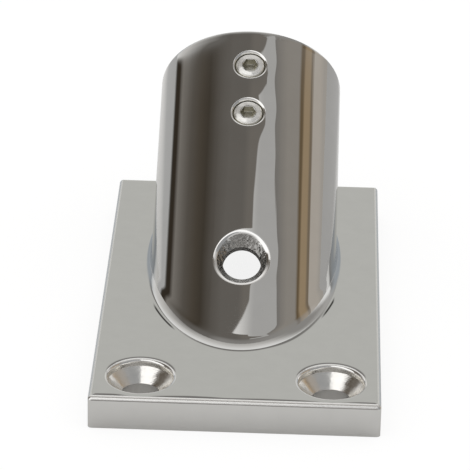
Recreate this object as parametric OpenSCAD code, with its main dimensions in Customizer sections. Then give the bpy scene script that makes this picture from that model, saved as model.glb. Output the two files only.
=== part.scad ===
// Tilted tube socket base: a cast plate with a round socket that leans back over it.
// Millimetres. The origin is where the socket's axis meets the middle of the plate's underside.
// X runs across the plate, Y to the rear, the way the socket leans, and Z up from the underside.

/* [Base plate] */
// Width of the plate, across the socket
plate_w = 46; // [43:0.5:70]
// Length of the plate, front to rear
plate_l = 78; // [72:0.5:110]
// Thickness of the plate
plate_t = 5.6; // [4.5:0.1:9]
// Radius of the plate's rounded edges and corners
edge_r = 0.65; // [0.3:0.05:1.2]

/* [Socket] */
// Angle between the socket's axis and the plate, in degrees
tilt = 30; // [28:1:60]
// Outside diameter of the rail tube that the socket takes
tube_d = 25.4; // [20:0.1:28]
// Gap all round between the rail tube and the bore
tube_gap = 0.15; // [0.1:0.05:0.4]
// Wall of the socket
wall = 2.85; // [2.6:0.05:4.5]
// Length of the socket along its axis, from the plate's top to the mouth
socket_l = 37.4; // [34:0.1:60]
// Radius of the rounded outer edge of the mouth
rim_r = 2.2; // [0.8:0.1:2.3]
// Width of the lead-in chamfer inside the mouth
lead_in = 0.3; // [0.1:0.05:0.5]
// Width of the rounded blend at the socket's foot, on each of the two faces that it joins
foot_w = 1; // [0.6:0.1:1.8]

/* [Countersunk fixing holes] */
// Nominal diameter of the fixing screws
fixing_d = 6; // [4:0.1:6.5]
// Gap all round between a fixing screw and its hole
fixing_gap = 0.15; // [0.1:0.05:0.4]
// Width of a front countersink inside its rounded lip
sink_d = 10.4; // [9:0.1:10.8]
// Width of the socket's countersink, level with the socket's top line
socket_sink_d = 10; // [8.5:0.1:10.4]
// Full angle of the countersink cones, in degrees
sink_angle = 90; // [82:1:100]
// Radius of the rounded lip round each front countersink
lip_r = 0.45; // [0.2:0.05:0.6]
// Depth of the straight wall between a front hole's lip and its cone
sink_wall = 0.65; // [0.2:0.05:1]
// Distance of the front holes from the plate's sides
hole_side = 7.9; // [7.2:0.1:9]
// Distance of the front holes from the plate's front edge
hole_front = 7.1; // [6.8:0.1:8]
// Distance of the socket's hole up its top line, from where that line meets the plate
hole_up = 17.3; // [14:0.1:24]
// Width of the rounded lip of each hole in the socket, on the wall and down the hole
socket_lip_w = 0.5; // [0.2:0.05:0.6]

/* [Set screws] */
// Nominal diameter of the set screws
set_d = 5; // [4:0.1:6]
// Gap all round between a set screw and its tapped hole
set_gap = 0.05; // [0.02:0.01:0.1]
// Depth of a set screw's top below the socket's top line
set_sunk = 0.15; // [0.05:0.05:0.5]
// Gap between a set screw's tip and the bore
tip_gap = 0.1; // [0.05:0.05:0.3]
// Width of the bevel round a set screw's top and tip
set_bevel = 0.35; // [0.1:0.05:0.5]
// Width across the flats of the hex sockets
hex_af = 2.5; // [2:0.1:3]
// Depth of the hex sockets
hex_depth = 1.7; // [1:0.1:1.9]
// Distance of the upper set screw from the mouth, along the top line
set_from_mouth = 8.1; // [6:0.1:9]
// Distance between the two set screws
set_pitch = 9.9; // [8:0.1:12]

/* [Hidden] */
$fn = 96;

// Reach of a cut past the surface that it opens
past = 1;
// How far a blend's edges run on past the faces that it joins
overlap = 0.01;
// Points round the foot's blend and round the lip of a hole, and steps across each
foot_points = 120;
lip_points = 60;
blend_steps = 6;

bore_r = tube_d / 2 + tube_gap;
socket_r = bore_r + wall;
fixing_r = fixing_d / 2 + fixing_gap;
sink_r = sink_d / 2;
socket_sink_r = socket_sink_d / 2;
set_r = set_d / 2;

// Unit vectors along the socket's axis, and square to it through its top line
axis_dir = [0, cos(tilt), sin(tilt)];
top_dir = [0, -sin(tilt), cos(tilt)];

// Places along the axis, from the origin: where it leaves the plate, the foot of its top line, the mouth
axis_at_top = plate_t / sin(tilt);
foot_at = axis_at_top - socket_r / tan(tilt);
mouth_at = axis_at_top + socket_l;
hole_at = foot_at + hole_up;
upper_at = mouth_at - set_from_mouth;
lower_at = upper_at - set_pitch;

// Children are drawn on the top line: X across, Y up the socket, Z out of its wall, and Z zero on the axis
module on_top_line(along) {
    translate(along * axis_dir) rotate([tilt, 0, 0]) children();
}

// Children are drawn about the socket's axis, which becomes their Z
module on_axis() {
    rotate([tilt - 90, 0, 0]) children();
}

// The plate: flat underside, every other edge and corner rounded
module plate() {
    flat_w = plate_w - 2 * edge_r;
    flat_l = plate_l - 2 * edge_r;
    side_h = plate_t - edge_r;
    translate([-flat_w / 2, -flat_l / 2, 0]) cube([flat_w, flat_l, plate_t]);
    translate([-plate_w / 2, -flat_l / 2, 0]) cube([plate_w, flat_l, side_h]);
    translate([-flat_w / 2, -plate_l / 2, 0]) cube([flat_w, plate_l, side_h]);
    for (x = [-flat_w / 2, flat_w / 2]) {
        translate([x, flat_l / 2, side_h]) rotate([90, 0, 0]) cylinder(r = edge_r, h = flat_l);
        for (y = [-flat_l / 2, flat_l / 2]) {
            translate([x, y, 0]) cylinder(r = edge_r, h = side_h);
            translate([x, y, side_h]) sphere(r = edge_r);
        }
    }
    for (y = [-flat_l / 2, flat_l / 2])
        translate([-flat_w / 2, y, side_h]) rotate([0, 90, 0]) cylinder(r = edge_r, h = flat_w);
}

// The socket before it is bored: a round bar with a rounded outer edge at the mouth, cut off at the underside
module socket_bar() {
    start = -socket_r / tan(tilt) - past;
    difference() {
        on_axis() rotate_extrude() {
            translate([0, start]) square([socket_r, mouth_at - rim_r - start]);
            translate([0, start]) square([socket_r - rim_r, mouth_at - start]);
            translate([socket_r - rim_r, mouth_at - rim_r]) circle(r = rim_r);
        }
        below = socket_r * 2 + past;
        translate([-plate_w, -plate_l, -below]) cube([2 * plate_w, 2 * plate_l, below]);
    }
}

function unit(v) = v / norm(v);
// A point moved straight in or out from an axis through the origin, to this radius
function at_radius(p, axis, r) =
    let (along = p * axis * axis, square_to = p - along)
    along + r * unit(square_to);
// A point of the circular arc from p to r whose two tangents meet at q. w is the cosine of half its turn.
function arc_point(p, q, r, w, t) =
    (pow(1 - t, 2) * p + 2 * w * t * (1 - t) * q + pow(t, 2) * r)
    / (pow(1 - t, 2) + 2 * w * t * (1 - t) + pow(t, 2));
// A blend's section where two faces meet at q with this cosine between their normals: an arc from p to r,
// closed through a point behind it
function blend_section(p, q, r, cosine, behind) =
    concat(
        [for (i = [0 : blend_steps]) arc_point(p, q, r, sqrt((1 + cosine) / 2), i / blend_steps)],
        [behind]
    );

// A solid ring through these sections, which all have the same number of points
module ring(sections) {
    count = len(sections);
    size = len(sections[0]);
    faces = [
        for (k = [0 : count - 1], i = [0 : size - 1])
            let (
                here = k * size,
                next = ((k + 1) % count) * size,
                up = (i + 1) % size
            )
            each [[here + i, next + i, next + up], [here + i, next + up, here + up]]
    ];
    polyhedron([for (section = sections) each section], faces);
}

// Direction out of the socket at an angle round it, counted from its top line
function out_at(a) = sin(a) * [1, 0, 0] + cos(a) * top_dir;
// Where the socket's wall meets a flat face at that angle. The face has this normal and height.
function seam_at(a, normal, height) =
    axis_dir * ((height - socket_r * (out_at(a) * normal)) / (axis_dir * normal)) + socket_r * out_at(a);
// The foot's section at that angle, from the wall to the face, its ends buried in the metal
function foot_section(a, normal, height) =
    let (
        out = out_at(a),
        lean = out * normal,
        q = seam_at(a, normal, height),
        on_wall = at_radius(q + foot_w * unit(normal - lean * out), axis_dir, socket_r - overlap),
        on_face = q + foot_w * unit(out - lean * normal) - overlap * normal
    )
    blend_section(on_wall, q, on_face, lean, q - foot_w * (normal + out));

// A ring round the socket that blends it into a flat face
module foot_blend(normal, height) {
    ring([for (k = [1 : foot_points]) foot_section(360 * k / foot_points, normal, height)]);
}

// The blend on the plate's top, which ends at the plate's rear face
module top_blend() {
    intersection() {
        foot_blend([0, 0, 1], plate_t);
        translate([-plate_w / 2, -plate_l / 2, 0])
            cube([plate_w, plate_l, plate_t + 2 * foot_w]);
    }
}

// The blend on the plate's rear face, under the overhanging socket
module rear_blend() {
    intersection() {
        foot_blend([0, 1, 0], plate_l / 2);
        translate([-plate_w / 2, plate_l / 2 - 2 * foot_w, 0])
            cube([plate_w, 4 * foot_w, plate_t - edge_r]);
    }
}

// The cut of one front hole, its axis along Z and the plate's top at Z zero
module front_hole() {
    cone_h = (sink_r - fixing_r) / tan(sink_angle / 2);
    rim = sink_r + lip_r;
    cone_top = -lip_r - sink_wall;
    rotate_extrude() {
        polygon([
            [0, -plate_t - past], [fixing_r, -plate_t - past], [fixing_r, cone_top - cone_h],
            [sink_r, cone_top], [sink_r, -lip_r], [0, -lip_r]
        ]);
        // The mouth flares out over the rounded lip
        difference() {
            translate([0, -lip_r]) square([rim, lip_r + past]);
            translate([rim, -lip_r]) circle(r = lip_r);
        }
    }
}

// Height over the socket's axis of a hole's edge, at an angle round the hole. The hole has radius r level
// with the top line, and its radius changes by this slope for each unit of height.
function edge_height(a, r, slope) =
    let (
        across = pow(sin(a), 2),
        r_at_axis = r - slope * socket_r,
        square_term = 1 + across * pow(slope, 2),
        half_term = across * slope * r_at_axis,
        last_term = across * pow(r_at_axis, 2) - pow(socket_r, 2)
    )
    (sqrt(pow(half_term, 2) - square_term * last_term) - half_term) / square_term;
// The lip's section at that angle, from the socket's wall down into the hole, its ends clear of the metal
function lip_section(a, r, cone_angle) =
    let (
        h = edge_height(a, r, tan(cone_angle)),
        edge_r = r + (h - socket_r) * tan(cone_angle),
        q = [edge_r * sin(a), edge_r * cos(a), h],
        out = [q.x, 0, h] / socket_r,
        inward = [-sin(a) * cos(cone_angle), -cos(a) * cos(cone_angle), sin(cone_angle)],
        lean = out * inward,
        on_wall = at_radius(q + socket_lip_w * unit(lean * out - inward), [0, 1, 0], socket_r + overlap),
        in_hole = q + socket_lip_w * unit(lean * inward - out) + overlap * inward
    )
    blend_section(on_wall, q, in_hole, lean, q + socket_lip_w * (out + inward));

// The cut that rounds the edge of a hole in the socket, drawn on the top line
module hole_lip(r, cone_angle) {
    ring([for (k = [1 : lip_points]) lip_section(-360 * k / lip_points, r, cone_angle)]);
}

// The cut of the socket's countersunk hole, out from the socket's axis, its cone carried on past the wall
module socket_hole() {
    flare = tan(sink_angle / 2);
    rotate_extrude() polygon([
        [0, 0], [fixing_r, 0], [fixing_r, socket_r - (socket_sink_r - fixing_r) / flare],
        [socket_sink_r + past * flare, socket_r + past], [0, socket_r + past]
    ]);
    hole_lip(socket_sink_r, sink_angle / 2);
}

// The cut of one tapped hole, out from the socket's axis
module tapped_hole() {
    hole_r = set_r + set_gap;
    cylinder(r = hole_r, h = socket_r + past);
    hole_lip(hole_r, 0);
}

module cast_base() {
    color("silver") difference() {
        union() {
            plate();
            socket_bar();
            top_blend();
            rear_blend();
        }
        // The bore, open through the plate's underside, and its lead-in
        on_axis() translate([0, 0, -bore_r / tan(tilt) - past])
            cylinder(r = bore_r, h = mouth_at + bore_r / tan(tilt) + 2 * past);
        on_axis() translate([0, 0, mouth_at - lead_in])
            cylinder(r1 = bore_r, r2 = bore_r + lead_in + past, h = lead_in + past);
        for (x = [-1, 1])
            translate([x * (plate_w / 2 - hole_side), hole_front - plate_l / 2, plate_t])
                front_hole();
        on_top_line(hole_at) socket_hole();
        on_top_line(upper_at) tapped_hole();
        on_top_line(lower_at) tapped_hole();
    }
}

// A set screw, drawn with its axis along Z and the socket's axis at Z zero
module set_screw() {
    tip = bore_r + tip_gap;
    top = socket_r - set_sunk;
    hex_r = hex_af / 2 / cos(30);
    difference() {
        translate([0, 0, tip]) rotate_extrude() polygon([
            [0, 0], [set_r - set_bevel, 0], [set_r, set_bevel],
            [set_r, top - tip - set_bevel], [set_r - set_bevel, top - tip], [0, top - tip]
        ]);
        translate([0, 0, top - hex_depth]) cylinder(r = hex_r, h = hex_depth + past, $fn = 6);
        translate([0, 0, top - (hex_r - hex_af / 2)])
            cylinder(r1 = hex_af / 2, r2 = hex_r, h = hex_r - hex_af / 2);
    }
}

module upper_set_screw() {
    color("gainsboro") on_top_line(upper_at) set_screw();
}

module lower_set_screw() {
    color("gainsboro") on_top_line(lower_at) set_screw();
}

cast_base();
upper_set_screw();
lower_set_screw();
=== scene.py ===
"""Tilted tube socket base in polished stainless steel, on a white floor in a soft light tent.

Metres, in the frame of the CAD part: X across the plate, Y to the rear, Z up from the underside.
"""
import math

import bpy
import numpy as np
from mathutils import Matrix, Vector


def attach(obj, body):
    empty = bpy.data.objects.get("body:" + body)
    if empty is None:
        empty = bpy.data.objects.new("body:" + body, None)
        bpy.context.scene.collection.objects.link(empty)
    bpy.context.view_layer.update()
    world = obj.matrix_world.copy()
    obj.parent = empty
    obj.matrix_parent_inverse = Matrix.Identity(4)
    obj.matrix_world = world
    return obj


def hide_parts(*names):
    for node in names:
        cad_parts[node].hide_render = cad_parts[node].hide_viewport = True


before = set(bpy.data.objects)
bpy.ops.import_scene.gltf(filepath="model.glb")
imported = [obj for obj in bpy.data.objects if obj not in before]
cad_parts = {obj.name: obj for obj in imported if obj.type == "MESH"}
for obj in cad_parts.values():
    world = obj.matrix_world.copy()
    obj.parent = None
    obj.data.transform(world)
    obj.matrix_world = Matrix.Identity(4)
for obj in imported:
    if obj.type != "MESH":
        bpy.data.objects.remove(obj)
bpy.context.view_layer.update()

MM = 0.001

# Sizes of the part, as in its source
PLATE_W = 46 * MM
PLATE_L = 78 * MM
PLATE_T = 5.6 * MM
EDGE_R = 0.65 * MM
TILT = math.radians(30)
BORE_R = 12.85 * MM
SOCKET_R = 15.7 * MM
SOCKET_L = 37.4 * MM
RIM_R = 2.2 * MM
FOOT_W = 1 * MM
FIXING_R = 3.15 * MM
SINK_R = 5.2 * MM
SOCKET_SINK_R = 5 * MM
LIP = 0.45 * MM
SOCKET_LIP = 0.5 * MM
HOLE_SIDE = 7.9 * MM
HOLE_FRONT = 7.1 * MM
HOLE_UP = 17.3 * MM
SET_HOLE_R = 2.55 * MM
SET_SUNK = 0.15 * MM
SET_FROM_MOUTH = 8.1 * MM
SET_PITCH = 9.9 * MM
HEX_DEPTH = 1.7 * MM

# The socket's axis, the way its top line faces, and places along the axis
AXIS = Vector((0, math.cos(TILT), math.sin(TILT)))
TOP = Vector((0, -math.sin(TILT), math.cos(TILT)))
AXIS_AT_TOP = PLATE_T / math.sin(TILT)
MOUTH_AT = AXIS_AT_TOP + SOCKET_L
HOLE_AT = AXIS_AT_TOP - SOCKET_R / math.tan(TILT) + HOLE_UP
UPPER_AT = MOUTH_AT - SET_FROM_MOUTH
LOWER_AT = UPPER_AT - SET_PITCH
FRONT_HOLES = [(side * (PLATE_W / 2 - HOLE_SIDE), HOLE_FRONT - PLATE_L / 2) for side in (-1, 1)]

# Each noise by its scale and detail
WAVES = (60.0, 1.0)
WANDERING = (110.0, 1.0)
HAZE = (350.0, 4.0)
DENTS = (700.0, 1.0)
RAGGED = (900.0, 2.0)
GRAIN = (1500.0, 2.0)
CHATTER = (1600.0, 1.0)
LINES = (1.0, 2.0)

# How polishing has moved the surface. Waves all over, and a dip round each hole in the socket, each by its
# place, width and depth, which fades in above the socket's axis.
WAVE_H = 0.012 * MM
DIPS = [
    (HOLE_AT, 3.6 * MM, 0.2 * MM),
    (UPPER_AT, 2.9 * MM, 0.12 * MM),
    (LOWER_AT, 2.9 * MM, 0.12 * MM),
]
DIPS_FROM = (0, 5 * MM)
# A dish round each front hole
DISH_H = 0.068 * MM
DISH_W = 0.45 * MM
# The plate's edges roll off along a line that wanders, and its sides fall away
EDGE_SLOPE = math.tan(math.radians(2.8))
EDGE_W = 1.2 * MM
EDGE_START = 0.3 * MM
WANDER = 0.9 * MM
SIDE_DROP = 0.55 * MM
SIDE_FADE = 1.1 * MM
# The socket's wall flares at the foot, and the plate beside it rises, more on the right
FLARE_SLOPE = math.tan(math.radians(6))
FLARE_W = 1.8 * MM
FLARE_START = 0.9 * MM
SKIRT_H = 0.035 * MM
SKIRT_H_RIGHT = 0.08 * MM
SKIRT_W = 0.5 * MM
SKIRT_TURN = (4 * MM, 10 * MM)
# The mouth's left shoulder is rounder
SHOULDER_DROP = 0.1 * MM
SHOULDER_FADE = 1 * MM
SHOULDER_FROM = (-2.5 * MM, -7 * MM)

# Painted shade, nearly black, in the seam beside the foot: its line, and where it fades in and out
SEAM_AT = 0.32 * MM
SEAM_W = (0.24 * MM, 0.072 * MM)
SEAM_RIGHT_IN = (13.2 * MM, 14.2 * MM)
SEAM_RIGHT_OUT = (15.6 * MM, 15.2 * MM)
SEAM_LEFT_IN = (-10.2 * MM, -11.4 * MM)
SEAM_LEFT_OUT = (-14.6 * MM, -13.8 * MM)
SEAM_FRONT = (0, -4 * MM)
SEAM_UP_TO = (PLATE_T + 0.6 * MM, PLATE_T + 0.3 * MM)

# Tone and chatter marks of the countersinks in the plate and in the socket, and the cutter's rings in both
# The tones are lit and shaded copies of one steel: painted highlight in the plate's countersinks, painted
# shade in the socket's
PLATE_SINK_LIT = (0.92, 0.02 * MM)
SOCKET_SINK_SHADED = (0.36, 0.26 * MM)
RING_PITCH = 0.22 * MM
RING_H = 0.0015 * MM
RING_WOBBLE = 3
# Grain of the bored walls and grinding lines of the underside
GRAIN_H = 0.01 * MM
LINES_H = 0.004 * MM
LINES_STRETCH = (4000, 60, 1)

# How much the screws' tops are domed, per millimetre, and dented, and where their hex walls start and end
DOME = 0.05
DENT = 0.09 * MM
SET_TOP = SOCKET_R - SET_SUNK
HEX_FROM = (SET_TOP - 0.1 * MM, SET_TOP - 0.35 * MM)
HEX_TO = (SET_TOP - HEX_DEPTH, SET_TOP - HEX_DEPTH + 0.1 * MM)

# The plate's rounded edges are worn and rougher, and carry a painted highlight in a lighter steel, from
# this far in on both of their sides
WORN_AND_HIGHLIGHT_FROM = (EDGE_R, 0.8 * EDGE_R)

# Colours and roughness of the metals
STEEL = (0.612, 0.608, 0.592, 1)
STEEL_DULL = (0.59, 0.586, 0.57, 1)
STEEL_CLEAR = (0.634, 0.63, 0.614, 1)
# A lighter steel on the plate's rounded edges: a painted highlight
STEEL_EDGE_HIGHLIGHT = (0.83, 0.82, 0.8, 1)
# A lighter steel on the holes' lips: a painted highlight
LIP_HIGHLIGHT_STEEL = (0.88, 0.87, 0.85, 1)
STEEL_BORED = (0.6, 0.59, 0.57, 1)
STEEL_GROUND = (0.56, 0.55, 0.53, 1)
STEEL_SCREW = (0.9, 0.89, 0.86, 1)
# Nearly black painted shade for the seam beside the foot
SEAM_SHADE = (0.03, 0.028, 0.025, 1)
# Dark olive painted shade for the walls in the hex sockets
OLIVE_HEX_SHADE = (0.36, 0.34, 0.26, 1)
TURNED_TINT = (1, 0.98, 0.94)
MIRROR_ROUGH = 0.015
WORN_ROUGH = 0.24
LIP_ROUGH = 0.1
TURNED_ROUGH = (0.3, 0.7, 0.16, 0.26)
BORED_ROUGH = 0.42
GROUND_ROUGH = 0.33
SCREW_ROUGH = 0.3
HEX_ROUGH = 0.22

# Grids that join the casting's corners, cosines that tell its flat and neighbouring faces, and margins
WELD = 0.0005 * MM
CORNER_GRID = 0.002 * MM
FLAT_SHADED = 0.9999995
SQUARE_TO = 0.9999
SAME_BEND = 0.8
RIM_TURN = (0.001, 0.999)
FACES_DOWN = -0.9
FACES_UP = 0.999
FACES_IN = -0.2
FACES_LEVEL = 0.1
OVERHANG = -0.5
OVER_BORE = 0.9 * BORE_R
HAIR = 0.01 * MM
NEAR = 0.02 * MM
FACET = 0.05 * MM
PAST_LEAD_IN = 0.4 * MM
TINY = 1e-12
CONE_SLOPE = math.sqrt(0.5)
CONE_OFF = 0.015

# Camera, from the fit of the part's outline to the photograph
PHOTO_PX = 470
FOCAL_PX = 3090.26
SENSOR = 36
CLIP_START = 0.01
CLIP_END = 50
CAMERA_AT = Vector((9.242, -456.873, 247.972)) * MM
ELEVATION = math.radians(27.024)
YAW = math.radians(-1.328)
ROLL = math.radians(1.214)


def make_camera():
    forward = Vector((
        math.sin(YAW) * math.cos(ELEVATION),
        math.cos(YAW) * math.cos(ELEVATION),
        -math.sin(ELEVATION),
    ))
    level = Vector((math.cos(YAW), -math.sin(YAW), 0))
    up = level.cross(forward)
    right = math.cos(ROLL) * level + math.sin(ROLL) * up
    top = -math.sin(ROLL) * level + math.cos(ROLL) * up
    data = bpy.data.cameras.new("camera")
    data.sensor_width = SENSOR
    data.lens = FOCAL_PX / PHOTO_PX * data.sensor_width
    data.clip_start = CLIP_START
    data.clip_end = CLIP_END
    camera = bpy.data.objects.new("camera", data)
    camera.matrix_world = Matrix((
        (right.x, top.x, -forward.x, CAMERA_AT.x),
        (right.y, top.y, -forward.y, CAMERA_AT.y),
        (right.z, top.z, -forward.z, CAMERA_AT.z),
        (0, 0, 0, 1),
    ))
    bpy.context.scene.collection.objects.link(camera)
    bpy.context.scene.camera = camera


class Nodes:
    """Short calls that build a node tree."""

    def __init__(self, tree):
        self.tree = tree
        tree.nodes.clear()

    def new(self, kind, settings=None, **inputs):
        node = self.tree.nodes.new(kind)
        for key, value in (settings or {}).items():
            setattr(node, key, value)
        for key, value in inputs.items():
            self.put(node.inputs[key.replace("_", " ")], value)
        return node

    def put(self, socket, value):
        if isinstance(value, bpy.types.NodeSocket):
            self.tree.links.new(value, socket)
        else:
            socket.default_value = value

    def place(self):
        return self.new("ShaderNodeTexCoord").outputs["Object"]

    def split(self, vector):
        return self.new("ShaderNodeSeparateXYZ", Vector=vector).outputs

    def along(self, place, direction):
        node = self.new("ShaderNodeVectorMath", {"operation": "DOT_PRODUCT"})
        self.put(node.inputs[0], place)
        self.put(node.inputs[1], tuple(direction))
        return node.outputs["Value"]

    def noise(self, place, scale, detail):
        return self.new("ShaderNodeTexNoise", Vector=place, Scale=scale, Detail=detail).outputs[0]

    def math(self, operation, *values):
        node = self.tree.nodes.new("ShaderNodeMath")
        node.operation = operation
        for socket, value in zip(node.inputs, values):
            self.put(socket, value)
        return node.outputs[0]

    def plus(self, first, second):
        return self.math("ADD", first, second)

    def minus(self, first, second):
        return self.math("SUBTRACT", first, second)

    def times(self, product, *others):
        for other in others:
            product = self.math("MULTIPLY", product, other)
        return product

    def squares(self, first, second):
        """The sum of the two values' squares."""
        return self.plus(self.times(first, first), self.times(second, second))

    def size(self, value):
        return self.math("ABSOLUTE", value)

    def above_zero(self, value):
        return self.math("MAXIMUM", value, 0)

    def clip(self, value, low, high):
        return self.math("MINIMUM", self.math("MAXIMUM", value, low), high)

    def fade(self, distance, width):
        """One where the distance is zero, and an e-th of that after each width."""
        return self.math("EXPONENT", self.times(distance, -1 / width))

    def slope_then_fade(self, distance, width):
        """Falls straight to one where the distance reaches zero, and fades past it."""
        fading = self.fade(self.above_zero(distance), width)
        return self.minus(fading, self.times(self.math("MINIMUM", distance, 0), 1 / width))

    def mix(self, factor, a, b):
        node = self.tree.nodes.new("ShaderNodeMix")
        node.data_type = "RGBA"
        self.put(node.inputs[0], factor)
        self.put(node.inputs[6], a)
        self.put(node.inputs[7], b)
        return node.outputs[2]

    def ease(self, value, low, high, out_low=0.0, out_high=1.0):
        node = self.new("ShaderNodeMapRange", {"interpolation_type": "SMOOTHSTEP"})
        for socket, given in zip(node.inputs, (value, low, high, out_low, out_high)):
            self.put(socket, given)
        return node.outputs[0]


def grey(tone, warmth=0.0):
    """A linear tone, a little warm or, where warmth is below zero, a little cool."""
    return (tone * (1 + warmth), tone, tone * (1 - 1.1 * warmth), 1.0)


# What the light tent shows to the metal. Roll is the angle round the Y axis, from overhead to the right.
# Pitch is the angle from there to the rear. The socket's straight wall shows one curved line of the tent,
# which rises to both sides by LINE_RISE, and above is the pitch over that line. All are in degrees.
LINE_RISE = 25 / 72 ** 2
WHITE = (1, 1, 1, 1)
DEEP = grey(0.036, 0.25)
DIM = grey(0.078, 0.2)
SHADE = grey(0.165, 0.08)
DUSK = grey(0.2, 0.09)
WARM = grey(0.29, 0.07)
WARM_LIGHT = grey(0.34, 0.08)
BROWN = grey(0.13, 0.38)
TAN = grey(0.315, 0.33)
UMBER = grey(0.19, 0.25)
CREAM = grey(0.52, 0.09)
DOVE = grey(0.46, 0.07)
COOL = grey(0.6, 0.0)
ICE = grey(0.76, -0.02)
# The strips, by rolls and their tones, which blend from one to the next
STRIPS = [
    (-180, ICE), (-95, ICE), (-91, COOL), (-87, DEEP), (-81, DEEP), (-76, grey(0.24, 0.08)),
    (-62, grey(0.12, 0.12)), (-50, DIM), (-42, grey(0.06, 0.2)), (-30, grey(0.13, 0.1)), (-20, SHADE),
    (-3, SHADE), (3, DUSK), (29, DUSK), (30.5, grey(0.25, 0.05)), (35, WARM), (42, WARM_LIGHT),
    (54, WARM_LIGHT), (56, BROWN), (58, BROWN), (60.5, TAN), (67, TAN), (69, UMBER), (70.3, UMBER),
    (71.5, CREAM), (81, CREAM), (86, DOVE), (93, DOVE), (105, COOL), (180, COOL),
]
# On the right the strips lean, those nearest overhead the most, round the place LEAN_MIDDLE above the line
LEAN_IN = (8, 26)
LEAN_BY_ROLL = (30, 62, 2.4, 0.8)
LEAN_MIDDLE = 4
LEAN_REACH = 3
# The rear half, by the pitch from overhead to straight behind
REAR_WALL = (0.672, 0.673, 0.65, 1.0)
REAR = [
    (0, grey(0.17, 0.06)), (9, grey(0.18, 0.06)), (12, grey(0.28, 0.04)), (17, grey(0.43, 0.02)),
    (27, grey(0.7, 0.02)), (44, grey(1.05)), (49, grey(1.05)), (50.5, grey(0.25, 0.03)),
    (54.5, grey(0.25, 0.03)), (57, REAR_WALL), (75, REAR_WALL), (90, grey(1.0)),
]
REAR_FROM = (6, 12)
REAR_SIDES = (110, 90)
REAR_ALL_FROM = (50, 58)
# On the left it is shifted to the rear, and on the right it is darker
REAR_DROP = (-12, -45, 0, 14)
REAR_DROP_TO = (56, 46)
REAR_RIGHT = grey(0.36, 0.03)
REAR_RIGHT_BEHIND = grey(0.54, 0.02)
REAR_RIGHT_TURN = (38, 50)
REAR_RIGHT_IN = (8, 32)
REAR_RIGHT_OUT = (75, 50)
REAR_RIGHT_TO = (58, 54)
# The horizon behind, a little blue to both sides
HORIZON = grey(0.47, -0.07)
HORIZON_IN = (30, 60)
HORIZON_OUT = (112, 100)
HORIZON_FROM = (48, 56)
# The pale strip. Its left edge moves to the right towards the mouth and to the left at the foot.
PALE = grey(0.545, 0.01)
PALE_NEAR = grey(0.97, 0.01)
PALE_TURN = (15, -6)
PALE_LEFT = 8.5
PALE_EDGE = (-0.7, 0.7)
PALE_RIGHT = (30.4, 29.6)
PALE_TO = (10.5, 9.8)
PALE_MOUTH_FROM = 3.8
PALE_MOUTH_TO = (9.2, 8.6)
PALE_MOUTH_LEAN = 2.6
PALE_FOOT_FROM = 2.0
PALE_FOOT_REACH = 1.2
PALE_FOOT_SPREAD = 22
# The front half, by the angle from straight ahead to overhead, with a grey part to the right of the middle
FRONT = [
    (0, grey(0.2, 0.05)), (8, grey(0.2, 0.05)), (15, grey(0.35, 0.02)), (26, grey(0.45, 0.02)),
    (38, grey(0.55, 0.01)), (52, grey(1.15)), (90, grey(1.2)),
]
FRONT_FROM = (-7, -12)
FRONT_SIDES = (110, 90)
FRONT_SHADE = grey(0.3, -0.02)
FRONT_SHADE_IN = (0, 3)
FRONT_SHADE_OUT = (120, 100)
FRONT_SHADE_TO = (-50, -44)

# The floor paper, with painted shade to both sides of the part, which only the metal's reflections show
FLOOR_SIZE = 3.0
FLOOR_AT = -0.05 * MM
FLOOR_TONE = grey(0.77, 0.01)
FLOOR_REAR = (-30 * MM, 0)
FLOOR_LEFT = (-35 * MM, -90 * MM)
FLOOR_LEFT_SHADE = grey(0.55)
FLOOR_RIGHT = (20 * MM, 40 * MM)
FLOOR_RIGHT_SHADE = grey(0.5, 0.01)
FLOOR_GLOW = 1.07
FLOOR_GLOW_SHARE = 0.8


def ramp_of(n, angle, stops, low, high):
    """A colour ramp from a list of angles and tones, which runs from the low angle to the high one."""
    factor = n.math("MULTIPLY_ADD", angle, 1 / (high - low), -low / (high - low))
    ramp = n.new("ShaderNodeValToRGB", Fac=factor)
    elements = ramp.color_ramp.elements
    elements[0].color = stops[0][1]
    elements[1].color = stops[-1][1]
    for stop, tone in stops[1:-1]:
        elements.new((stop - low) / (high - low)).color = tone
    return ramp.outputs[0]


def leaning_roll(n, roll, above):
    """The roll that picks the strip."""
    bend = n.clip(n.minus(above, LEAN_MIDDLE), -LEAN_REACH, LEAN_REACH)
    lean = n.times(n.ease(roll, *LEAN_IN), n.ease(roll, *LEAN_BY_ROLL))
    return n.math("MULTIPLY_ADD", bend, lean, roll)


def rear_half(n, roll, pitch):
    drop = n.times(n.ease(roll, *REAR_DROP), n.ease(pitch, *REAR_DROP_TO))
    rear = ramp_of(n, n.minus(pitch, drop), REAR, 0, 90)
    right = n.mix(n.ease(pitch, *REAR_RIGHT_TURN), REAR_RIGHT, REAR_RIGHT_BEHIND)
    shaded = n.times(n.ease(roll, *REAR_RIGHT_IN), n.ease(roll, *REAR_RIGHT_OUT))
    shaded = n.times(shaded, n.ease(pitch, *REAR_RIGHT_TO))
    return n.mix(shaded, rear, right)


def front_half(n, roll, pitch):
    front = ramp_of(n, n.plus(pitch, 90), FRONT, 0, 90)
    shaded = n.times(n.ease(roll, *FRONT_SHADE_IN), n.ease(roll, *FRONT_SHADE_OUT))
    shaded = n.times(shaded, n.ease(pitch, *FRONT_SHADE_TO))
    return n.mix(shaded, front, FRONT_SHADE)


def pale_share(n, roll, strip, above):
    """One inside the pale strip."""
    mouth = n.times(n.above_zero(n.minus(above, PALE_MOUTH_FROM)), n.ease(above, *PALE_MOUTH_TO))
    foot = n.clip(n.minus(PALE_FOOT_FROM, above), 0, PALE_FOOT_REACH)
    left = n.math("MULTIPLY_ADD", mouth, PALE_MOUTH_LEAN, PALE_LEFT)
    left = n.minus(left, n.times(foot, foot, PALE_FOOT_SPREAD))
    inside = n.times(n.ease(n.minus(roll, left), *PALE_EDGE), n.ease(strip, *PALE_RIGHT))
    return n.times(inside, n.ease(above, *PALE_TO))


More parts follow.
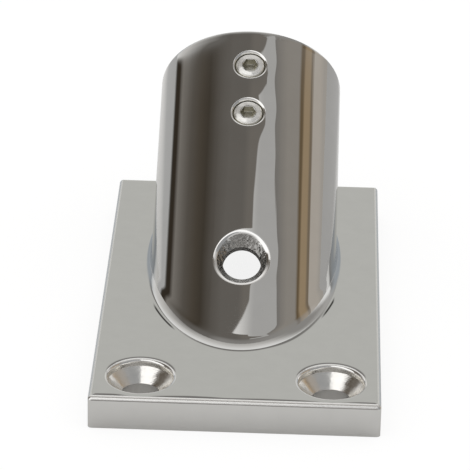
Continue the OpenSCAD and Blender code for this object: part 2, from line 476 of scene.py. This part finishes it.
def make_world():
    world = bpy.data.worlds.new("tent")
    world.use_nodes = True
    bpy.context.scene.world = world
    n = Nodes(world.node_tree)
    direction = n.split(n.new("ShaderNodeTexCoord").outputs["Generated"])
    roll = n.times(n.math("ARCTAN2", direction[0], direction[2]), math.degrees(1))
    pitch = n.times(n.math("ARCSINE", direction[1]), math.degrees(1))
    side = n.size(roll)
    above = n.minus(pitch, n.times(roll, roll, LINE_RISE))
    strip = leaning_roll(n, roll, above)
    tent = ramp_of(n, strip, STRIPS, -180, 180)
    behind = n.times(n.ease(above, *REAR_FROM), n.ease(side, *REAR_SIDES))
    behind = n.math("MAXIMUM", behind, n.ease(pitch, *REAR_ALL_FROM))
    tent = n.mix(behind, tent, rear_half(n, roll, pitch))
    blue = n.times(n.ease(side, *HORIZON_IN), n.ease(side, *HORIZON_OUT), n.ease(pitch, *HORIZON_FROM))
    tent = n.mix(blue, tent, HORIZON)
    pale = n.mix(n.ease(roll, *PALE_TURN), PALE, PALE_NEAR)
    tent = n.mix(pale_share(n, roll, strip, above), tent, pale)
    ahead = n.times(n.ease(pitch, *FRONT_FROM), n.ease(side, *FRONT_SIDES))
    tent = n.mix(ahead, tent, front_half(n, roll, pitch))
    seen = n.mix(n.new("ShaderNodeLightPath").outputs["Is Glossy Ray"], WHITE, tent)
    background = n.new("ShaderNodeBackground", Color=seen, Strength=1.0)
    n.new("ShaderNodeOutputWorld", Surface=background.outputs[0])


def floor_paper():
    """Nearly white to the camera, with a little of the part's shadow, and grey paper to everything else,
    which glossy rays see darker to both sides of the part: painted shade.
    """
    material = bpy.data.materials.new("floor_paper")
    material.use_nodes = True
    n = Nodes(material.node_tree)
    place = n.split(n.place())
    path = n.new("ShaderNodeLightPath").outputs
    right = n.times(n.ease(place[0], *FLOOR_RIGHT), n.ease(place[1], *FLOOR_REAR))
    left = n.times(n.ease(place[0], *FLOOR_LEFT), n.ease(place[1], *FLOOR_REAR))
    # Painted shade on the paper to both sides of the part, for glossy rays only
    shown = n.mix(right, n.mix(left, FLOOR_TONE, FLOOR_LEFT_SHADE), FLOOR_RIGHT_SHADE)
    paper = n.new("ShaderNodeBsdfDiffuse", Color=n.mix(path["Is Glossy Ray"], FLOOR_TONE, shown))
    glow = n.new("ShaderNodeEmission", Color=WHITE, Strength=FLOOR_GLOW)
    both = n.new("ShaderNodeMixShader", Fac=n.times(path["Is Camera Ray"], FLOOR_GLOW_SHARE))
    n.put(both.inputs[1], paper.outputs[0])
    n.put(both.inputs[2], glow.outputs[0])
    n.new("ShaderNodeOutputMaterial", Surface=both.outputs[0])
    return material


def make_floor():
    mesh = bpy.data.meshes.new("floor")
    corners = [(x * FLOOR_SIZE, y * FLOOR_SIZE, 0) for x, y in ((-1, -1), (1, -1), (1, 1), (-1, 1))]
    mesh.from_pydata(corners, [], [(0, 1, 2, 3)])
    mesh.materials.append(floor_paper())
    floor = bpy.data.objects.new("floor", mesh)
    floor.location.z = FLOOR_AT
    bpy.context.scene.collection.objects.link(floor)


def metal(name, colour, roughness):
    """A new metal material, its nodes and its shader."""
    material = bpy.data.materials.new(name)
    material.use_nodes = True
    n = Nodes(material.node_tree)
    shader = n.new("ShaderNodeBsdfPrincipled", Base_Color=colour, Metallic=1.0, Roughness=roughness)
    n.new("ShaderNodeOutputMaterial", Surface=shader.outputs[0])
    return material, n, shader


def bump(n, shader, height, distance=1.0):
    node = n.new("ShaderNodeBump", Height=height, Strength=1.0, Distance=distance)
    n.put(shader.inputs["Normal"], node.outputs[0])


def from_foot(n, split, out):
    """The distance up the socket's wall from the plate, and along the plate from the foot's blend."""
    radius = n.math("SQRT", n.squares(split[0], out))
    lean = n.times(n.math("DIVIDE", out, radius), math.cos(TILT))
    steep = n.math("SQRT", n.minus(1, n.times(lean, lean)))
    rise = n.math("DIVIDE", n.above_zero(n.minus(split[2], PLATE_T)), steep)
    outside = n.minus(n.math("DIVIDE", n.minus(radius, SOCKET_R), steep), FOOT_W)
    return rise, outside


def from_sides(n, split):
    """The distance from the nearest side of the plate."""
    across = n.minus(PLATE_W / 2, n.size(split[0]))
    back = n.minus(PLATE_L / 2, n.size(split[1]))
    return n.math("MINIMUM", across, back)


def dip_depth(n, split, up, out):
    """The dips round the three holes in the socket's top line."""
    total = 0
    for at, width, depth in DIPS:
        dip = n.fade(n.squares(n.minus(up, at), split[0]), width ** 2)
        total = n.plus(total, n.times(dip, depth))
    return n.times(total, n.ease(out, *DIPS_FROM))


def dish_depth(n, split):
    """The shallow dish round each front hole."""
    side, front = FRONT_HOLES[1]
    from_hole = n.math("SQRT", n.squares(n.minus(n.size(split[0]), side), n.minus(split[1], front)))
    past_lip = n.above_zero(n.minus(from_hole, SINK_R + LIP))
    return n.times(n.fade(past_lip, DISH_W), DISH_H)


def edge_depth(n, place, split):
    """The roll-off at the plate's edges and the fall of its sides."""
    width = n.math("MULTIPLY_ADD", n.noise(place, *WANDERING), WANDER, EDGE_W - WANDER / 2)
    past = n.math("SMOOTH_MAX", n.minus(width, from_sides(n, split)), 0, EDGE_START)
    fall = n.fade(n.above_zero(n.minus(PLATE_T, split[2])), SIDE_FADE)
    return n.plus(n.times(past, EDGE_SLOPE), n.times(fall, SIDE_DROP))


def foot_height(n, split, out):
    """The flare of the socket's wall at the foot, and the skirt on the plate round it."""
    rise, outside = from_foot(n, split, out)
    flare = n.math("SMOOTH_MAX", n.minus(FLARE_W, rise), 0, FLARE_START)
    skirt_h = n.ease(split[0], *SKIRT_TURN, SKIRT_H, SKIRT_H_RIGHT)
    return n.plus(n.times(flare, FLARE_SLOPE), n.times(n.slope_then_fade(outside, SKIRT_W), skirt_h))


def shoulder_depth(n, split, up):
    """The rounder left shoulder of the mouth."""
    shoulder = n.slope_then_fade(n.minus(MOUTH_AT - RIM_R, up), SHOULDER_FADE)
    return n.times(shoulder, n.ease(split[0], *SHOULDER_FROM), SHOULDER_DROP)


def polish_height(n, place, split, out):
    """The height of the polished skin over the solid."""
    up = n.along(place, AXIS)
    height = n.times(n.noise(place, *WAVES), WAVE_H)
    height = n.minus(height, dip_depth(n, split, up, out))
    height = n.minus(height, dish_depth(n, split))
    height = n.minus(height, edge_depth(n, place, split))
    height = n.plus(height, foot_height(n, split, out))
    return n.minus(height, shoulder_depth(n, split, up))


def seam_share(n, split, out):
    """One on the painted shade in the seam, at the left and right of the foot's front."""
    outside = from_foot(n, split, out)[1]
    seam = n.ease(n.size(n.minus(outside, SEAM_AT)), *SEAM_W)
    right = n.times(n.ease(split[0], *SEAM_RIGHT_IN), n.ease(split[0], *SEAM_RIGHT_OUT))
    left = n.times(n.ease(split[0], *SEAM_LEFT_IN), n.ease(split[0], *SEAM_LEFT_OUT))
    seam = n.times(seam, n.math("MAXIMUM", right, left), n.ease(split[1], *SEAM_FRONT))
    return n.times(seam, n.ease(split[2], *SEAM_UP_TO))


def polished_steel():
    """Mirror polish, a little wavy and hazy, with less sharp edges round the plate, on which a lighter
    steel paints a highlight.
    """
    material, n, shader = metal("polished_steel", STEEL, MIRROR_ROUGH)
    place = n.place()
    split = n.split(place)
    out = n.along(place, TOP)
    bump(n, shader, polish_height(n, place, split, out))
    below = n.minus(PLATE_T, split[2])
    rounded = n.times(n.ease(from_sides(n, split), *WORN_AND_HIGHLIGHT_FROM), n.ease(below, *WORN_AND_HIGHLIGHT_FROM))
    n.put(shader.inputs["Roughness"], n.ease(rounded, 0, 1, MIRROR_ROUGH, WORN_ROUGH))
    skin = n.mix(n.noise(place, *HAZE), STEEL_DULL, STEEL_CLEAR)
    # Painted highlight: a lighter steel on the plate's rounded edges
    skin = n.mix(rounded, skin, STEEL_EDGE_HIGHLIGHT)
    # Painted shade, nearly black, in the seam beside the foot
    n.put(shader.inputs["Base Color"], n.mix(seam_share(n, split, out), skin, SEAM_SHADE))
    return material


def turned_steel(name, axis, tone, chatter):
    """Satin faces with rings round the hole's axis and the chatter marks of the cutter."""
    # The tone paints light and shade: lighter for the plate's countersinks, darker for the socket's
    colour = [tone * part for part in TURNED_TINT] + [1]
    material, n, shader = metal(name, colour, TURNED_ROUGH[-1])
    place = n.place()
    ragged = n.noise(place, *RAGGED)
    turn = n.times(n.along(place, axis), 2 * math.pi / RING_PITCH)
    rings = n.math("SINE", n.plus(turn, n.times(ragged, RING_WOBBLE)))
    marks = n.times(n.noise(place, *CHATTER), chatter)
    n.put(shader.inputs["Roughness"], n.ease(ragged, *TURNED_ROUGH))
    bump(n, shader, n.math("MULTIPLY_ADD", rings, RING_H, marks))
    return material


def lip_highlight_steel():
    """The lips of the holes in a lighter steel than the skin round them: a painted highlight."""
    return metal("lip_highlight_steel", LIP_HIGHLIGHT_STEEL, LIP_ROUGH)[0]


def bored_steel():
    """The dull wall of the bore and of the drilled holes."""
    material, n, shader = metal("bored_steel", STEEL_BORED, BORED_ROUGH)
    bump(n, shader, n.noise(n.place(), *GRAIN), GRAIN_H)
    return material


def ground_steel():
    """The flat underside, ground straight from front to rear."""
    material, n, shader = metal("ground_steel", STEEL_GROUND, GROUND_ROUGH)
    stretched = n.new("ShaderNodeMapping", Vector=n.place(), Scale=LINES_STRETCH).outputs[0]
    bump(n, shader, n.noise(stretched, *LINES), LINES_H)
    return material


def screw_steel():
    """Bright pressed tops, a little domed and dented, with painted shade, dark olive, on the walls in the
    hex sockets.
    """
    material, n, shader = metal("screw_steel", STEEL_SCREW, SCREW_ROUGH)
    place = n.place()
    height = n.along(place, TOP)
    walls = n.times(n.ease(height, *HEX_FROM), n.ease(height, *HEX_TO))
    # Painted shade, dark olive, on the hex sockets' walls
    n.put(shader.inputs["Base Color"], n.mix(walls, STEEL_SCREW, OLIVE_HEX_SHADE))
    n.put(shader.inputs["Roughness"], n.ease(walls, 0, 1, SCREW_ROUGH, HEX_ROUGH))
    up = n.along(place, AXIS)
    from_upper, from_lower = (n.size(n.minus(up, at)) for at in (UPPER_AT, LOWER_AT))
    square = n.squares(n.math("MINIMUM", from_upper, from_lower), n.split(place)[0])
    dents = n.times(n.noise(place, *DENTS), DENT)
    bump(n, shader, n.math("MULTIPLY_ADD", square, -DOME / MM, dents))
    return material


POLISHED, TURNED_PLATE, TURNED_SOCKET, BORED, GROUND, LIPS = range(6)


def casting_faces(source):
    """The CAD casting's triangles as arrays: corner places, corner normals and face normals."""
    mesh = source.data
    count = len(mesh.polygons)
    places = np.empty(len(mesh.vertices) * 3)
    mesh.vertices.foreach_get("co", places)
    corners = np.empty(count * 3, dtype=np.int64)
    mesh.loops.foreach_get("vertex_index", corners)
    normals = np.empty(count * 9)
    mesh.corner_normals.foreach_get("vector", normals)
    flat = np.empty(count * 3)
    mesh.polygons.foreach_get("normal", flat)
    places = places.reshape(-1, 3)[corners].reshape(count, 3, 3)
    return places, normals.reshape(count, 3, 3), flat.reshape(count, 3)


def is_blend(normals, flat):
    """The flat facets of the blends and lips: flat, and square to no face of the part."""
    shaded_flat = (np.einsum("fij,fj->fi", normals, flat) > FLAT_SHADED).all(axis=1)
    square = np.abs(flat).max(axis=1) > SQUARE_TO
    square |= np.abs(flat @ np.array(AXIS)) > SQUARE_TO
    return shaded_flat & ~square


def smoothed(places, normals, flat):
    """The corner normals with the blends shaded round, each meeting its neighbours without an edge."""
    blend = is_blend(normals, flat)
    keys = np.round(places / CORNER_GRID).astype(np.int64)
    size = np.linalg.norm(np.cross(places[:, 1] - places[:, 0], places[:, 2] - places[:, 0]), axis=1)
    total = {}
    beside = {}
    for face in range(len(flat)):
        for corner in range(3):
            key = tuple(keys[face, corner])
            if blend[face]:
                total[key] = total.get(key, 0) + size[face] * flat[face]
            else:
                beside.setdefault(key, []).append(normals[face, corner])
    result = normals.copy()
    for face in np.nonzero(blend)[0]:
        for corner in range(3):
            key = tuple(keys[face, corner])
            mean = total[key] / max(np.linalg.norm(total[key]), TINY)
            near = [given for given in beside.get(key, []) if given @ mean > SAME_BEND]
            result[face, corner] = max(near, key=lambda given: given @ mean) if near else mean
    return result


def sharpened_rim(places, normals):
    """The mouth's rounded edge turns slowly at first and fast at its end, as the polished one does."""
    axis = np.array(AXIS)
    turn = normals @ axis
    rim = (places @ axis > MOUTH_AT - RIM_R - HAIR) & (turn > RIM_TURN[0]) & (turn < RIM_TURN[1])
    outward = places - (places @ axis)[..., None] * axis
    rim &= np.einsum("fci,fci->fc", outward, normals) > 0
    angle = np.arcsin(np.clip(turn, 0, 1))
    slower = math.pi / 2 * (angle / (math.pi / 2)) ** 2
    out = outward / np.linalg.norm(outward, axis=-1, keepdims=True)
    turned = np.cos(slower)[..., None] * out + np.sin(slower)[..., None] * axis
    return np.where(rim[..., None], turned, normals)


def finish_plate(finish, middle, flat):
    """Sorts the faces of the underside and of the front holes."""
    finish[(middle[:, 2] < HAIR) & (flat[:, 2] < FACES_DOWN)] = GROUND
    below_lip = middle[:, 2] < PLATE_T - LIP
    above_lip = middle[:, 2] > PLATE_T - LIP
    for centre in FRONT_HOLES:
        from_hole = np.linalg.norm(middle[:, :2] - np.array(centre), axis=1)
        inside = (from_hole < SINK_R + NEAR) & below_lip & (flat[:, 2] > OVERHANG)
        finish[inside] = TURNED_PLATE
        finish[inside & (from_hole < FIXING_R + NEAR)] = BORED
        lip = (np.abs(from_hole - SINK_R - LIP / 2) < LIP / 2 + HAIR) & above_lip
        finish[lip & (flat[:, 2] < FACES_UP)] = LIPS


def finish_socket(finish, middle, flat, blend):
    """Sorts the faces of the three holes in the socket."""
    up = middle @ np.array(AXIS)
    height = middle @ np.array(TOP)
    slope = flat @ np.array(TOP)
    for at, hole_r, mouth_r in (
        (HOLE_AT, FIXING_R, SOCKET_SINK_R),
        (UPPER_AT, SET_HOLE_R, SET_HOLE_R),
        (LOWER_AT, SET_HOLE_R, SET_HOLE_R),
    ):
        from_hole = np.hypot(middle[:, 0], up - at)
        inside = (from_hole < SOCKET_SINK_R) & (height > OVER_BORE)
        finish[blend & (from_hole < mouth_r + SOCKET_LIP) & (height > BORE_R)] = LIPS
        if at == HOLE_AT:
            finish[inside & (np.abs(slope - CONE_SLOPE) < CONE_OFF)] = TURNED_SOCKET
        finish[inside & (from_hole < hole_r + FACET) & (np.abs(slope) < FACES_LEVEL)] = BORED


def casting_finish(places, flat, blend):
    """The finish of each of the casting's faces, by where it lies and where it looks."""
    middle = places.mean(axis=1)
    axis = np.array(AXIS)
    outward = middle - (middle @ axis)[:, None] * axis
    radius = np.linalg.norm(outward, axis=1)
    facing = np.einsum("fi,fi->f", flat, outward) / radius
    finish = np.full(len(flat), POLISHED)
    finish[(radius < BORE_R + PAST_LEAD_IN) & (facing < FACES_IN)] = BORED
    finish_plate(finish, middle, flat)
    finish_socket(finish, middle, flat, blend)
    return finish


def welded(places):
    """The corners' places without doubles, the corners of each face, and which faces keep an area."""
    keys = np.round(places.reshape(-1, 3) / WELD).astype(np.int64)
    first, corners = np.unique(keys, axis=0, return_index=True, return_inverse=True)[1:]
    corners = corners.reshape(-1, 3)
    kept = (corners != np.roll(corners, 1, axis=1)).all(axis=1)
    return places.reshape(-1, 3)[first], corners, kept


def make_casting(source, finishes):
    """The casting from the CAD one's triangles, with smoother shading and a finish for each face."""
    places, normals, flat = casting_faces(source)
    slots = casting_finish(places, flat, is_blend(normals, flat))
    normals = sharpened_rim(places, smoothed(places, normals, flat))
    points, corners, kept = welded(places)
    mesh = bpy.data.meshes.new("casting")
    mesh.from_pydata(points.tolist(), [], corners[kept].tolist())
    for finish in finishes:
        mesh.materials.append(finish)
    mesh.polygons.foreach_set("material_index", slots[kept].astype(np.int32))
    mesh.polygons.foreach_set("use_smooth", np.ones(kept.sum(), dtype=bool))
    mesh.normals_split_custom_set(normals[kept].reshape(-1, 3).tolist())
    casting = bpy.data.objects.new("casting", mesh)
    bpy.context.scene.collection.objects.link(casting)
    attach(casting, "root")
    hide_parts("cast_base")


bpy.context.scene.view_settings.view_transform = "Standard"
make_camera()
make_world()
make_floor()
finishes = [
    polished_steel(),
    turned_steel("turned_plate", (0, 0, 1), *PLATE_SINK_LIT),
    turned_steel("turned_socket", TOP, *SOCKET_SINK_SHADED),
    bored_steel(),
    ground_steel(),
    lip_highlight_steel(),
]
make_casting(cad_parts["cast_base"], finishes)
screw = screw_steel()
for name in ("upper_set_screw", "lower_set_screw"):
    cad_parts[name].data.materials.clear()
    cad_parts[name].data.materials.append(screw)
